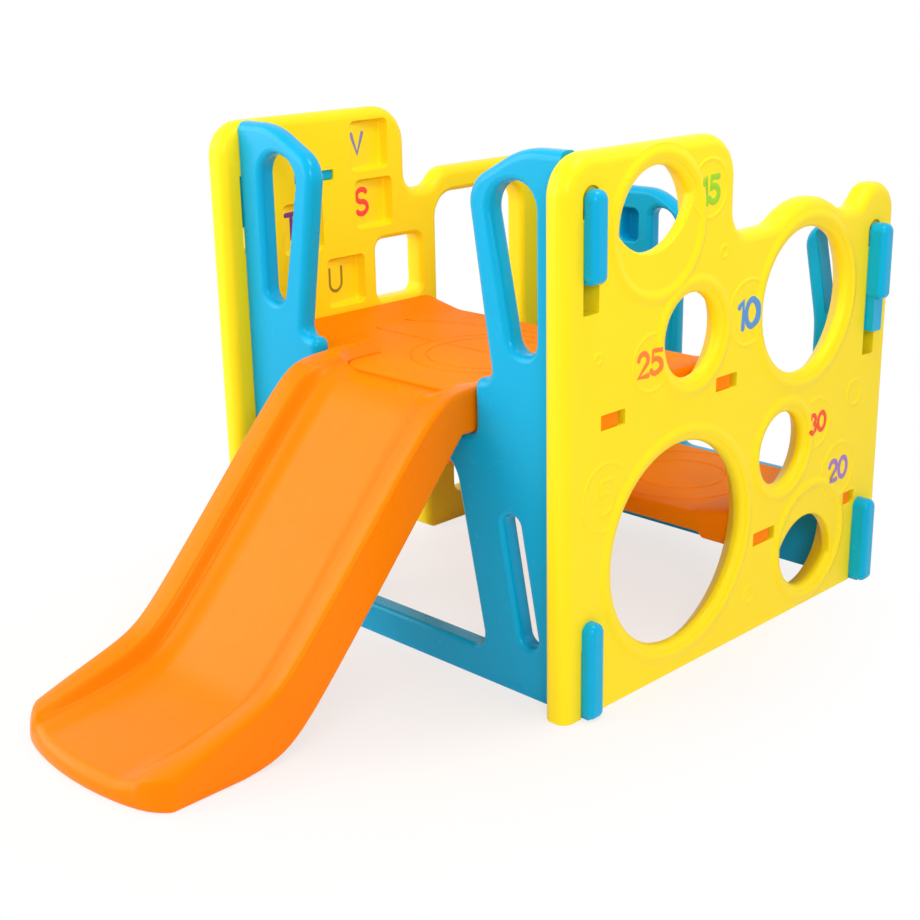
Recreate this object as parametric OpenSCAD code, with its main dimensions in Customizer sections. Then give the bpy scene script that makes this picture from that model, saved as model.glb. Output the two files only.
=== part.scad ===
// Toddler climbing gym: two blow-moulded side panels drop onto hooks of a front and a rear frame,
// two decks lie with their tabs in slots of the panels, and a chute hangs in the front frame's cradle.
// +Z is up, the chute runs out towards -Y and the origin is on the floor under the middle.

/* [Side panels] */
// Clear width between the two side panels
inner_w = 795; // [770:5:820]
// Length of a side panel from its front edge to its rear edge
panel_len = 959; // [940:1:980]
// Height of a side panel over its front half
panel_h = 931; // [915:1:950]
// Thickness of a side panel
panel_t = 50; // [46:1:56]
// How far the panels stand ahead of the front frame
panel_lead = 44; // [38:1:50]
// How far the panels reach back past the rear frame's face
panel_trail = 87; // [80:1:96]
// Rounding of the panels' moulded edges
panel_edge_r = 20; // [14:1:22]

/* [Holes of the number panel] */
// Diameter of the large crawl-through hole
crawl_hole_d = 364; // [320:2:370]
// Diameter of the high round hole under the hump
hump_hole_d = 268; // [230:2:276]
// Diameter of the small upper peephole
upper_peep_d = 150; // [120:2:160]
// Diameter of the small lower peephole
lower_peep_d = 143; // [120:1:154]
// Diameter of the top lens-shaped hole
top_lens_d = 190; // [170:2:200]
// Diameter of the bottom lens-shaped hole
bottom_lens_d = 184; // [170:2:196]
// Rounding of the rim inside each round hole
hole_edge_r = 14; // [8:1:16]
// Depth of the narrow part of each round hole under the panel's outer face
hole_neck = 18; // [17:1:24]
// How much each round hole widens from there to the panel's inner face
hole_dish = 28; // [10:1:30]
// Height of the raised ring round each hole
rim_proud = 3; // [2:0.5:5]
// Width of the raised ring round each hole
rim_w = 18; // [14:1:22]

/* [Openings of the letter panel] */
// Width of the doorway over the lower deck
door_w = 265; // [240:1:275]
// Width of the crawl-through arch at the floor
arch_w = 389; // [350:1:400]
// Height of the crawl-through arch at the floor
arch_h = 415; // [380:1:425]
// Side of the square window
window_w = 124; // [100:2:130]
// Side of a letter pocket
pocket_w = 96; // [84:1:104]
// Depth of a letter pocket at its deep side
pocket_d = 22; // [14:1:28]
// Length of the hanger slot
hanger_len = 99; // [80:1:110]
// Height of the hanger slot
hanger_h = 20; // [16:1:24]

/* [Frames] */
// Thickness of the front and rear frames
frame_t = 40; // [36:1:44]
// Rounding of the frames' moulded edges
frame_edge_r = 14; // [8:1:16]
// How far the rear frame's top lies under the front frame's top
rear_frame_drop = 190; // [180:1:200]
// Half width of the cradle that the chute lies in
cradle_half_w = 204; // [203:1:212]
// Height of the shoulders beside the cradle
shoulder_h = 547; // [540:1:556]
// Half width of the entry between the rear handles
entry_half_w = 168; // [155:1:172]
// Distance of the entry's middle from the number panel
entry_set = 236; // [232:0.5:250]
// Height of the apron under the rear entry
apron_h = 212; // [206:1:222]
// Depth of the bar across the foot of the front frame
foot_bar_h = 58; // [50:1:70]

/* [Panel hooks] */
// How far a panel lifts before it comes off its hooks
hook_lift = 48; // [42:1:52]
// Width of a hook's head
hook_w = 37; // [33:1:40]
// How far a front hook stands out of the panel
front_hook_proud = 22; // [18:1:28]
// How far a rear hook stands out of the panel
rear_hook_proud = 33; // [26:1:38]
// How far the front upper hook's top lies under the front frame's top
front_hook_drop = 53; // [46:1:64]
// How far the rear upper hook's top lies under the rear frame's top
rear_hook_drop = 19; // [14:1:28]
// Height of an upper hook's head
hook_head_h = 145; // [135:1:155]
// Height of a lower hook's head
low_hook_h = 172; // [160:1:185]

/* [Decks] */
// Height of the upper deck
deck_z = 508; // [500:1:516]
// Height of the lower deck
step_z = 208; // [202:1:214]
// Thickness of a deck
deck_t = 38; // [34:1:42]
// Rise of a deck's side lips
lip_rise = 26; // [18:1:32]
// Width of a deck's sloping side lips
lip_w = 90; // [70:1:110]
// Length of the upper deck from front to rear
deck_len = 443; // [430:1:455]
// Length of the lower deck from front to rear
step_len = 335; // [325:1:350]
// How far a deck slides back in its slots
deck_travel = 15; // [10:1:18]
// Height of a deck tab
tab_h = 25; // [20:1:30]
// How far a tab stays below the panel's outer face
tab_recess = 2; // [1:0.5:10]

/* [Chute] */
// How far the chute runs out ahead of the front frame
chute_reach = 700; // [680:5:720]
// Half width of the chute
chute_half_w = 200; // [194:1:202]
// Slope of the chute in degrees
chute_slope = 48.5; // [46:0.5:51]
// Depth of the chute's channel on the slope
channel_d = 65; // [55:1:72]
// Height of the chute's side wall on the slope
chute_wall_h = 129; // [120:1:136]
// Height of the lip at the chute's exit
exit_lip_h = 30; // [26:1:36]
// Depth of the chute's upper end under the deck
cradle_drop = 61; // [56:1:66]
// Thickness of the deck's tongue over the chute
tongue_t = 12; // [10:1:16]
// Half width of the deck's tongue
tongue_half_w = 156; // [150:1:160]

/* [Hidden] */
$fn = 48;

// Gap between pieces that slide or seat against each other
fit = 0.4;
// Overrun of every cut
overrun = 5;
// Lift of a flared mouth off the face, so that it breaks out at an angle
mouth_lift = 0.6;
// Segments of a quarter-round moulded edge
edge_steps = 3;
// Largest angle of one segment of a rounded corner
arc_step = 15;
// Share of an edge that the arcs at its two ends may take
arc_share = 0.96;
// Area of a triangle that counts as none
least = 0.001;

half_w = inner_w/2;
cradle_z = deck_z - cradle_drop;
wall_reach = panel_len - panel_lead;
frame_pitch = wall_reach - panel_trail;
front_frame_h = panel_h;
rear_frame_h = front_frame_h - rear_frame_drop;
front_hook_top = front_frame_h - front_hook_drop;
rear_hook_top = rear_frame_h - rear_hook_drop;
datum_y = (chute_reach - wall_reach)/2;

// Outline corners are [along, up, radius]. A square corner has no radius, and names the way it is drawn in.

// Number panel: shares of the panel's length, height and again height
number_top_shares = [[1, 0.854, 0.064], [0.91, 0.854, 0.043], [0.868, 0.813, 0.032],
    [0.816, 0.813, 0.064], [0.6945, 0.877, 0.199], [0.586, 0.813, 0.107], [0.4546, 0.813, 0.048],
    [0.4546, 1, 0.081], [0, 1, 0.07]];
crawl_hole_shares = [0.316, 0.2556];
hump_hole_shares = [0.6945, 0.652];
upper_peep_shares = [0.34, 0.6477];
lower_peep_shares = [0.637, 0.362];
top_lens_shares = [0.2367, 0.8593];
bottom_lens_shares = [0.7445, 0.1396];
// Second circle of each lens: shares of the hole's diameter
top_lid_shares = [-0.095, 0.347, 1.12];
bottom_lid_shares = [-0.082, -0.23, 1.03];
lid_edge_r = 6;
lid_dish = 40;
lens_dish = 15;

// Letter panel: shares of the panel's length, height and again height
letter_top_shares = [[1, 0.851, 0.064], [0.5985, 0.851, 0.054], [0.561, 0.813, 0.043],
    [0.489, 0.813, 0.038], [0.489, 1, 0.081], [0, 1, 0.07]];
arch_rear_share = 0.5245;
arch_r_share = 0.23;
door_front_share = 0.5766;
door_top_share = 0.794;
door_r_share = 0.19;
door_sill = step_z + lip_rise;
window_shares = [0.461, 0.6455];
window_r_share = 0.16;
pocket_places_shares = [[0.383, 0.922], [0.392, 0.797], [0.307, 0.637], [0.197, 0.767]];
pocket_slope_share = 0.27;
pocket_r_share = 0.1;
hanger_shares = [0.231, 0.87];
hanger_recess = 5;
hanger_flange = 8;
hanger_flange_t = 4;
lower_hole_shares = [0.616, 0.853];
lower_hole_sill = 60;
lower_hole_r = 26;

// Front frame: shares of the half width and the frame's height, with radii as shares of the height
handle_shares = [[0.78, 1, 0.17], [0.48, 0.932, 0.06]];
handle_foot_share = 0.611;
shoulder_r = 22;
cradle_r = 3;
handle_hole_shares = [[0.862, 0.958, 0.047], [0.597, 0.926, 0.047], [0.735, 0.645, 0.03],
    [0.862, 0.645, 0.026]];
front_arch_shares = [[0.57, 0, 0.03], [0.385, 1, 0.065]];
cradle_bar_h = 45;
leg_slot_shares = [[0.724, 0.322], [0.818, 0.118]];
leg_slot_r = 21;
leg_slot_round_share = 0.98;

// Rear frame: shares of the entry's half width and of the frame's height
rear_handle_shares = [[1.35, 1, 0.15], [0.808, 0.926, 0.06], [0.994, 0.7, 0.3]];
entry_foot_r = 40;
rear_hole_x_shares = [1.425, 0.99, 1.185];
post_hole_shares = [0.99, 1.185];
post_top_share = 0.965;
rear_hole_z_shares = [0.946, 0.718];
rear_hole_r = 24;
rear_post = 15;
rear_post_r = 9;
rear_slot_shares = [-0.34, 0.89];
rear_slot_w = 48;
rear_slot_h = 70;
rear_slot_r = 14;

// Hooks
hook_set = 16;
hook_top_r = 16;
hook_side_r = 9;
neck_slim = 3;
rear_neck_drop = 63;

// Decks
deck_gap = 2;
chute_seat = 120;
deck_front = frame_t + deck_gap;
deck_rear = deck_front + deck_len;
step_stop = frame_pitch - deck_gap - deck_travel;
step_set = 6;
step_rear = step_stop - step_set;
step_front = step_rear - step_len;
upper_tab_len = 45;
upper_tab_back = 136;
upper_tab_drop = 4;
upper_tab_rear = deck_rear - upper_tab_back;
upper_tab_z = deck_z - upper_tab_drop;
step_tab_len = 52;
step_tab_set = 11;
step_heel_len = 24;
step_tab_drop = 27;
step_tab_front = step_front + step_tab_set;
step_tab_rear = step_stop - step_heel_len;
step_tab_z = step_z - step_tab_drop;
rail_w = 60;
rail_drop = 10;
tongue_front = 15;
tongue_r = 45;
groove_r = 3;
deck_rings = [125, 155];
step_rings = [90, 150];

// Chute
rail_rise = 22;
exit_rail_slope = 0.24;
exit_rail_h = 53;
bend_k = 36;
crest_k = 40;
floor_bend_k = 60;
floor_crest_k = 24;
under_bend_k = 44;
under_flat = 5;
exit_floor_slope = 0.06;
slope_foot = 477;
channel_share = 0.62;
rail_shares = [0.87, 0.97];
rail_drop_h = 6;
wall_power = 2;
exit_sag = 34;
exit_corner = 24;
exit_corner_power = 14;
exit_sag_len = 300;
exit_round = 18;
exit_edge_share = 0.3;
chute_rows = 32;
lip_rows = 4;
chute_columns_shares = [0, 0.3, 0.62, 0.68, 0.73, 0.77, 0.805, 0.84, 0.87, 0.97, 0.99, 1];
chute_hook_t = 14;
chute_hook_drop = 20;

panel_yellow = "#ffdf1a";
frame_blue = "#1fb4e6";
deck_orange = "#ff8c1a";

// Rounded outlines

function flat(p) = [p[0], p[1]];
function unit(v) = v/norm(v);
function before(p, i) = flat(p[(i + len(p) - 1)%len(p)]);
function after(p, i) = flat(p[(i + 1)%len(p)]);
function heading_in(p, i) = unit(flat(p[i]) - before(p, i));
function heading_out(p, i) = unit(after(p, i) - flat(p[i]));
function bend(p, i) = acos(max(-1, min(1, heading_in(p, i)*heading_out(p, i))));
function side(p, i) = let (a = heading_in(p, i), b = heading_out(p, i)) sign(a.x*b.y - a.y*b.x);
function reach(p, i) = let (j = (i + len(p))%len(p)) p[j][2]*tan(bend(p, j)/2);

// Share of a corner's radius that its two edges leave room for
function ease(p, i) = min(1, arc_share*norm(flat(p[i]) - before(p, i))/(reach(p, i) + reach(p, i - 1)),
    arc_share*norm(after(p, i) - flat(p[i]))/(reach(p, i) + reach(p, (i + 1)%len(p))));

// Points of one corner's arc, drawn in by inset on the solid's side
function corner(p, i, inset) = p[i][2] == 0 ? [flat(p[i]) + inset*p[i][3]] :
    let (k = ease(p, i), s = side(p, i), a = heading_in(p, i), r = k*p[i][2], turn = bend(p, i),
        normal = [-a.y, a.x], centre = flat(p[i]) - a*k*reach(p, i) + s*r*normal,
        start = atan2(-s*normal.y, -s*normal.x), steps = max(2, ceil(turn/arc_step)))
    [for (j = [0:steps]) let (t = start + s*turn*j/steps) centre + (r - s*inset)*[cos(t), sin(t)]];

function outline(p, inset = 0) = [for (i = [0:len(p) - 1]) each corner(p, i, inset)];

// Triangles over a flat outline, cut off one ear at a time
function area(a, b, c) = (b.x - a.x)*(c.y - a.y) - (b.y - a.y)*(c.x - a.x);
function holds(q, a, b, c) = area(a, b, q) > least && area(b, c, q) > least && area(c, a, q) > -least;
function is_ear(p, left, i) =
    let (n = len(left), a = (i + n - 1)%n, c = (i + 1)%n, tri = [p[left[a]], p[left[i]], p[left[c]]])
    area(tri[0], tri[1], tri[2]) > least && len([for (j = [0:n - 1])
        if (j != a && j != i && j != c && holds(p[left[j]], tri[0], tri[1], tri[2])) j]) == 0;
function first_ear(p, left, i = 0) = i == len(left) - 1 || is_ear(p, left, i) ? i : first_ear(p, left, i + 1);
function ears(p, left, done = []) = len(left) < 4 ? concat(done, [left]) :
    let (n = len(left), i = first_ear(p, left))
    ears(p, [for (j = [0:n - 1]) if (j != i) left[j]],
        concat(done, [[left[(i + n - 1)%n], left[i], left[(i + 1)%n]]]));

// A closed skin over rings of points that all have the same count
module skin(rings) {
    n = len(rings[0]);
    last = len(rings) - 1;
    first_cap = ears(rings[0], [for (i = [0:n - 1]) i]);
    last_cap = ears(rings[last], [for (i = [0:n - 1]) i]);
    polyhedron(points = [for (g = rings) each g], faces = concat(first_cap,
        [for (f = last_cap) [last*n + f[2], last*n + f[1], last*n + f[0]]],
        [for (j = [0:last - 1], i = [0:n - 1]) [j*n + i, j*n + n + i, j*n + n + (i + 1)%n]],
        [for (j = [0:last - 1], i = [0:n - 1]) [j*n + i, j*n + n + (i + 1)%n, j*n + (i + 1)%n]]));
}

// A plate with quarter-round edges on both faces
module moulded(p, t, r) {
    quarter = [for (k = [0:edge_steps]) 90*k/edge_steps];
    levels = concat([for (a = quarter) [r*(1 - sin(a)), r*(1 - cos(a))]],
        [for (k = [edge_steps:-1:0]) [r*(1 - sin(quarter[k])), t - r*(1 - cos(quarter[k]))]]);
    skin([for (l = levels) [for (q = outline(p, l[0])) [q.x, q.y, l[1]]]]);
}

// A cut through a plate with a flared mouth on both faces
module mouth(p, t, r) {
    quarter = [for (k = [0:edge_steps]) 90*k/edge_steps];
    levels = concat([[-r, -overrun]],
        [for (a = quarter) [-r*(1 - sin(a)), r*(1 - cos(a)) - mouth_lift]],
        [for (k = [edge_steps:-1:0]) [-r*(1 - sin(quarter[k])), t - r*(1 - cos(quarter[k])) + mouth_lift]],
        [[-r, t + overrun]]);
    skin([for (l = levels) [for (q = outline(p, l[0])) [q.x, q.y, l[1]]]]);
}

// A straight cut through a plate
module slot(p, t) {
    translate([0, 0, -overrun]) linear_extrude(t + 2*overrun) polygon(outline(p));
}

// A round hole with a flared mouth on its far face and a dished one on its near face
module round_mouth(d, t, r, dish) {
    neck = t - hole_neck;
    rotate_extrude() {
        translate([0, -overrun]) square([d/2, t + 2*overrun]);
        translate([0, t]) mirror([0, 1]) difference() {
            translate([0, -overrun]) square([d/2 + r, r + overrun - mouth_lift]);
            translate([d/2 + r, r - mouth_lift]) circle(r);
        }
        polygon([[0, neck], [d/2, neck], [d/2 + dish*(neck + overrun)/neck, -overrun], [0, -overrun]]);
    }
}

function box_corners(x0, x1, y0, y1, r) = [[x0, y0, r], [x1, y0, r], [x1, y1, r], [x0, y1, r]];

// Stand an outline drawn in [Y, Z] on its edge, with its thickness along +X
module upright() { rotate([90, 0, 90]) children(); }

// Stand an outline drawn in [X, Z] on its edge, with its thickness along +Y
module across() { rotate([90, 0, 0]) mirror([0, 0, 1]) children(); }

module both_sides() {
    children();
    mirror([1, 0, 0]) children();
}

// Side panels

function panel_y(share) = share*panel_len - panel_lead;
function panel_place(shares) = [panel_y(shares[0]), shares[1]*panel_h];
function panel_corners(shares) = [for (s = shares) [panel_y(s[0]), s[1]*panel_h, s[2]*panel_h]];

front_y = -panel_lead;
rear_y = panel_len - panel_lead;

// Hook slot from a neck's foot and head: the panel drops from the lifted place onto the neck
module hook_slot(y, neck_foot, neck_top) {
    w = hook_w + 2*fit;
    translate([-overrun, y - w/2, neck_foot - hook_lift - fit])
        cube([panel_t + 2*overrun, w, neck_top - neck_foot + hook_lift + 2*fit]);
}

front_neck_foot = front_hook_top - hook_head_h;
rear_neck_foot = rear_hook_top - hook_head_h - rear_neck_drop;

module panel_hook_slots() {
    hook_slot(hook_set, front_neck_foot, front_hook_top - hook_lift);
    hook_slot(frame_pitch + hook_set, rear_neck_foot, rear_hook_top - hook_lift);
    for (y = [hook_set, frame_pitch + hook_set]) hook_slot(y, -overrun, low_hook_h - hook_lift);
}

module tab_slot(y, z, tab_len) {
    translate([-overrun, y - fit, z - tab_h/2 - fit])
        cube([panel_t + 2*overrun, tab_len + deck_travel + 2*fit, tab_h + 2*fit]);
}

module panel_tab_slots() {
    tab_slot(deck_front, upper_tab_z, upper_tab_len);
    tab_slot(upper_tab_rear, upper_tab_z, upper_tab_len);
    tab_slot(step_tab_front, step_tab_z, step_tab_len);
    tab_slot(step_tab_rear, step_tab_z, step_heel_len);
}

module number_hole(shares, d) {
    place = panel_place(shares);
    translate([place.x, place.y, 0]) round_mouth(d, panel_t, hole_edge_r, hole_dish);
}

// A hole that a lid closes on one side: the part that two round mouths share
module lens_hole(shares, d, lid) {
    place = panel_place(shares);
    translate([place.x, place.y, 0]) intersection() {
        round_mouth(d, panel_t, hole_edge_r, lens_dish);
        translate([lid[0]*d, lid[1]*d, 0]) round_mouth(lid[2]*d, panel_t, lid_edge_r, lid_dish);
    }
}

// The raised ring round a hole, a round bead that is sunk in the face
module hole_rim(shares, d) {
    place = panel_place(shares);
    bead_r = (rim_w*rim_w/4 + rim_proud*rim_proud)/(2*rim_proud);
    translate([place.x, place.y, panel_t]) rotate_extrude() intersection() {
        translate([d/2 + hole_edge_r + rim_w/2, rim_proud - bead_r]) circle(bead_r);
        translate([d/2 + hole_edge_r, -rim_proud]) square([rim_w, 3*rim_proud]);
    }
}

module number_panel() {
    corners = concat([[front_y, 0, 0, [1, 0]], [rear_y, 0, 0, [-1, 0]]], panel_corners(number_top_shares));
    color(panel_yellow) translate([half_w, datum_y, 0]) difference() {
        upright() {
            moulded(corners, panel_t, panel_edge_r);
            hole_rim(crawl_hole_shares, crawl_hole_d);
            hole_rim(hump_hole_shares, hump_hole_d);
            hole_rim(upper_peep_shares, upper_peep_d);
            hole_rim(lower_peep_shares, lower_peep_d);
            hole_rim(top_lens_shares, top_lens_d);
            hole_rim(bottom_lens_shares, bottom_lens_d);
        }
        upright() {
            number_hole(crawl_hole_shares, crawl_hole_d);
            number_hole(hump_hole_shares, hump_hole_d);
            number_hole(upper_peep_shares, upper_peep_d);
            number_hole(lower_peep_shares, lower_peep_d);
            lens_hole(top_lens_shares, top_lens_d, top_lid_shares);
            lens_hole(bottom_lens_shares, bottom_lens_d, bottom_lid_shares);
        }
        panel_hook_slots();
        panel_tab_slots();
    }
}

arch_rear = panel_y(arch_rear_share);

// A pocket for one letter, whose floor slopes down towards the rear
module letter_pocket(shares) {
    place = panel_place(shares);
    shallow = pocket_d*pocket_slope_share;
    translate([0, place.x - pocket_w/2, place.y - pocket_w/2]) linear_extrude(pocket_w)
        polygon([[-overrun, 0], [shallow, 0], [pocket_d, pocket_w], [-overrun, pocket_w]]);
}

function hanger_box(grow) = let (c = panel_place(hanger_shares))
    [c.x - hanger_len/2 - grow, c.y - hanger_h/2 - grow, hanger_len + 2*grow, hanger_h + 2*grow];

module letter_panel() {
    arch_front = arch_rear - arch_w;
    corners = concat(
        [[front_y, 0, 0, [1, 0]], [arch_front, 0, 0, [-1, 0]], [arch_front, arch_h, arch_r_share*arch_w],
            [arch_rear, arch_h, arch_r_share*arch_w], [arch_rear, 0, 0, [1, 0]], [rear_y, 0, 0, [-1, 0]]],
        panel_corners(letter_top_shares));
    door_y = panel_y(door_front_share);
    door_r = door_r_share*door_w;
    window = panel_place(window_shares);
    window_r = window_r_share*window_w;
    slot_box = hanger_box(0);
    color(panel_yellow) translate([-half_w, datum_y, 0]) mirror([1, 0, 0]) difference() {
        upright() moulded(corners, panel_t, panel_edge_r);
        upright() {
            mouth(box_corners(door_y, door_y + door_w, door_sill, door_top_share*panel_h, door_r),
                panel_t, hole_edge_r);
            mouth(box_corners(window.x - window_w/2, window.x + window_w/2, window.y - window_w/2,
                window.y + window_w/2, window_r), panel_t, hole_edge_r);
            slot(box_corners(panel_y(lower_hole_shares[0]), panel_y(lower_hole_shares[1]),
                lower_hole_sill, step_tab_z - tab_h - rail_drop, lower_hole_r), panel_t);
        }
        for (s = pocket_places_shares) letter_pocket(s);
        translate([-overrun, slot_box[0], slot_box[1]])
            cube([panel_t + 2*overrun, slot_box[2], slot_box[3]]);
        panel_hook_slots();
        panel_tab_slots();
    }
}

// A bar through the letter panel's slot, held by a flange on the outer face
module hanger_bar() {
    bar = hanger_box(-fit);
    flange = hanger_box(hanger_flange);
    color(frame_blue) translate([-half_w, datum_y, 0]) mirror([1, 0, 0]) {
        translate([hanger_recess, bar[0], bar[1]]) cube([panel_t + fit - hanger_recess, bar[2], bar[3]]);
        translate([panel_t + fit, flange[0], flange[1]]) cube([hanger_flange_t, flange[2], flange[3]]);
    }
}

// Frames

// A hook on the outer side of a frame: a neck through the panel and a head over the panel's face
module hook(y, neck_foot, head_foot, head_top, proud) {
    neck_w = hook_w - 2*neck_slim;
    head_h = head_top - head_foot;
    face_x = half_w + panel_t + fit;
    both_sides() translate([0, y, 0]) {
        translate([half_w - overrun, -neck_w/2, neck_foot])
            cube([panel_t + fit + overrun + proud/2, neck_w, head_top - hook_lift - neck_foot]);
        intersection() {
            translate([0, 0, head_foot]) linear_extrude(head_h) polygon(outline(
                [[face_x, -hook_w/2, fit], [face_x + proud, -hook_w/2, hook_side_r],
                    [face_x + proud, hook_w/2, hook_side_r], [face_x, hook_w/2, fit]]));
            translate([0, -hook_w, 0]) across() linear_extrude(2*hook_w) polygon(outline(
                [[face_x, head_foot, fit], [face_x + proud, head_foot, hook_side_r],
                    [face_x + proud, head_top, hook_top_r], [face_x, head_top, fit]]));
        }
    }
}

module frame_hooks(upper_foot, upper_top, neck_drop, proud) {
    hook(hook_set, upper_foot - neck_drop, upper_foot, upper_top, proud);
    hook(hook_set, 0, 0, low_hook_h, proud);
}

// A frame ends square against the panels and the floor, at the fitting gap from the panels
end_x = half_w - fit;

function mirrored(p) = [for (i = [len(p) - 1:-1:0]) [-p[i][0], p[i][1], p[i][2], p[i][3]]];
function frame_corners(p, w, h) = [for (s = p) [s[0]*w, s[1]*h, s[2]*h]];

module front_frame() {
    handle = concat([[end_x, 0, 0, [0, 0]], [end_x, front_frame_h, 0, [0, -1]]],
        frame_corners(handle_shares, half_w, front_frame_h),
        [[handle_foot_share*half_w, shoulder_h, shoulder_r], [cradle_half_w, shoulder_h, shoulder_r],
            [cradle_half_w, cradle_z, cradle_r]]);
    corners = concat(handle, mirrored(handle));
    arch_top = cradle_z - cradle_bar_h;
    arch_half = [for (s = front_arch_shares) [s[0]*half_w, foot_bar_h + s[1]*(arch_top - foot_bar_h),
        s[2]*front_frame_h]];
    leg_slot = [for (s = leg_slot_shares) [s[0]*half_w, s[1]*front_frame_h]];
    color(frame_blue) translate([0, datum_y, 0]) {
        difference() {
            across() moulded(corners, frame_t, frame_edge_r);
            across() slot(concat(arch_half, mirrored(arch_half)), frame_t);
            both_sides() across() {
                mouth(frame_corners(handle_hole_shares, half_w, front_frame_h), frame_t, frame_edge_r);
                slot(tilted_slot(leg_slot[0], leg_slot[1], leg_slot_r), frame_t);
            }
        }
        frame_hooks(front_hook_top - hook_head_h, front_hook_top, 0, front_hook_proud);
    }
}

// Corners of a slot with round ends between two points, its top end first
function tilted_slot(a, b, r) =
    let (along = unit(b - a), off = r*[along.y, -along.x], end = r*along, round_r = leg_slot_round_share*r)
    [[a.x - end.x - off.x, a.y - end.y - off.y, round_r], [a.x - end.x + off.x, a.y - end.y + off.y, round_r],
        [b.x + end.x + off.x, b.y + end.y + off.y, round_r],
        [b.x + end.x - off.x, b.y + end.y - off.y, round_r]];

module rear_frame() {
    entry_x = half_w - entry_set;
    post_x = half_w - rear_post;
    tip = [for (s = rear_handle_shares) [s[0]*entry_half_w, s[1]*rear_frame_h, s[2]*rear_frame_h]];
    foot = [entry_half_w, apron_h, entry_foot_r];
    entry = concat([tip[1], tip[2], foot], mirrored([tip[0], tip[1], tip[2], foot]));
    corners = concat([[-end_x, 0, 0, [0, 0]], [end_x, 0, 0, [0, 0]], [end_x, rear_frame_h, 0, [0, -1]],
            [post_top_share*half_w, rear_frame_h, tip[1][2]]],
        [for (c = entry) [c[0] + entry_x, c[1], c[2]]],
        [[-end_x, rear_frame_h, 0, [0, -1]]]);
    hole_top = rear_hole_z_shares[0]*rear_frame_h;
    hole_foot = rear_hole_z_shares[1]*rear_frame_h;
    bar_top = entry_x + post_hole_shares[0]*entry_half_w;
    bar_foot = entry_x + post_hole_shares[1]*entry_half_w;
    wall_bar_top = entry_x - rear_hole_x_shares[1]*entry_half_w;
    wall_bar_foot = entry_x - rear_hole_x_shares[2]*entry_half_w;
    wall_hole = entry_x - rear_hole_x_shares[0]*entry_half_w;
    grip = [rear_slot_shares[0]*half_w, rear_slot_shares[1]*rear_frame_h];
    color(frame_blue) translate([0, datum_y + frame_pitch, 0]) {
        difference() {
            across() moulded(corners, frame_t, frame_edge_r);
            across() {
                mouth([[wall_hole, hole_foot, rear_hole_r], [wall_bar_foot, hole_foot, rear_hole_r],
                    [wall_bar_top, hole_top, rear_hole_r], [wall_hole, hole_top, rear_hole_r]],
                    frame_t, frame_edge_r);
                slot([[bar_foot, hole_foot, rear_post_r], [post_x, hole_foot, rear_post_r],
                    [post_x, hole_top, rear_post_r], [bar_top, hole_top, rear_post_r]], frame_t);
                mouth(box_corners(grip.x - rear_slot_w/2, grip.x + rear_slot_w/2, grip.y - rear_slot_h/2,
                    grip.y + rear_slot_h/2, rear_slot_r), frame_t, frame_edge_r/2);
            }
        }
        frame_hooks(rear_hook_top - hook_head_h, rear_hook_top, rear_neck_drop, rear_hook_proud);
    }
}

// Decks

deck_half_w = half_w - fit;

// A tab on each end of a deck, in the slots of the panels
module deck_tabs(y, z, tab_len) {
    both_sides() translate([deck_half_w - overrun, y, z - tab_h/2])
        cube([panel_t + fit - tab_recess + overrun, tab_len, tab_h]);
}

module deck_body(top, front, rear) {
    translate([0, front, 0]) across() linear_extrude(rear - front) deck_profile(top);
}

// Cross-section of a deck, with a sloping lip and a deeper rail at each end
module deck_profile(top) {
    foot = top - deck_t;
    polygon([[-deck_half_w, foot - rail_drop], [rail_w - deck_half_w, foot - rail_drop],
        [rail_w + rail_drop - deck_half_w, foot], [deck_half_w - rail_w - rail_drop, foot],
        [deck_half_w - rail_w, foot - rail_drop], [deck_half_w, foot - rail_drop],
        [deck_half_w, top + lip_rise], [deck_half_w - lip_w, top], [lip_w - deck_half_w, top],
        [-deck_half_w, top + lip_rise]]);
}

// A ring-shaped non-slip groove in a deck's top
module ring_groove(r) {
    rotate_extrude() translate([r, 0]) circle(groove_r);
}

module tongue_plan(half, front) {
    translate([tongue_r - half, front]) square([2*(half - tongue_r), chute_seat - front]);
    translate([-half, front + tongue_r]) square([2*half, chute_seat - front - tongue_r]);
    both_sides() translate([half - tongue_r, front + tongue_r]) circle(tongue_r);
}

module upper_deck() {
    notch_half = cradle_half_w - fit;
    ring_y = (chute_seat + deck_rear)/2;
    color(deck_orange) translate([0, datum_y, 0]) {
        difference() {
            deck_body(deck_z, deck_front, deck_rear);
            translate([-notch_half, deck_front - overrun, 0])
                cube([2*notch_half, chute_seat - deck_front + overrun, 2*deck_z]);
            translate([0, ring_y, deck_z]) for (r = deck_rings) ring_groove(r);
        }
        translate([0, 0, deck_z - tongue_t]) linear_extrude(tongue_t)
            tongue_plan(tongue_half_w, tongue_front);
        translate([-tongue_half_w, chute_seat - tongue_t, deck_z - tongue_t])
            cube([2*tongue_half_w, 2*tongue_t, tongue_t]);
        deck_tabs(deck_front, upper_tab_z, upper_tab_len);
        deck_tabs(upper_tab_rear, upper_tab_z, upper_tab_len);
    }
}

module lower_deck() {
    ring_x = half_w - entry_set;
    ring_y = (step_front + step_rear)/2;
    color(deck_orange) translate([0, datum_y, 0]) {
        difference() {
            deck_body(step_z, step_front, step_rear);
            translate([ring_x, ring_y, step_z]) for (r = step_rings) ring_groove(r);
        }
        deck_tabs(step_tab_front, step_tab_z, step_tab_len);
        deck_tabs(step_tab_rear, step_tab_z, step_heel_len);
    }
}

// Chute

function blend_up(a, b, k) = (a + b + sqrt((a - b)*(a - b) + k*k))/2;
function blend_down(a, b, k) = (a + b - sqrt((a - b)*(a - b) + k*k))/2;
function slope_line(y) = tan(chute_slope)*(y + slope_foot);

rail_top = deck_z + rail_rise;
exit_y = -chute_reach;

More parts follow.
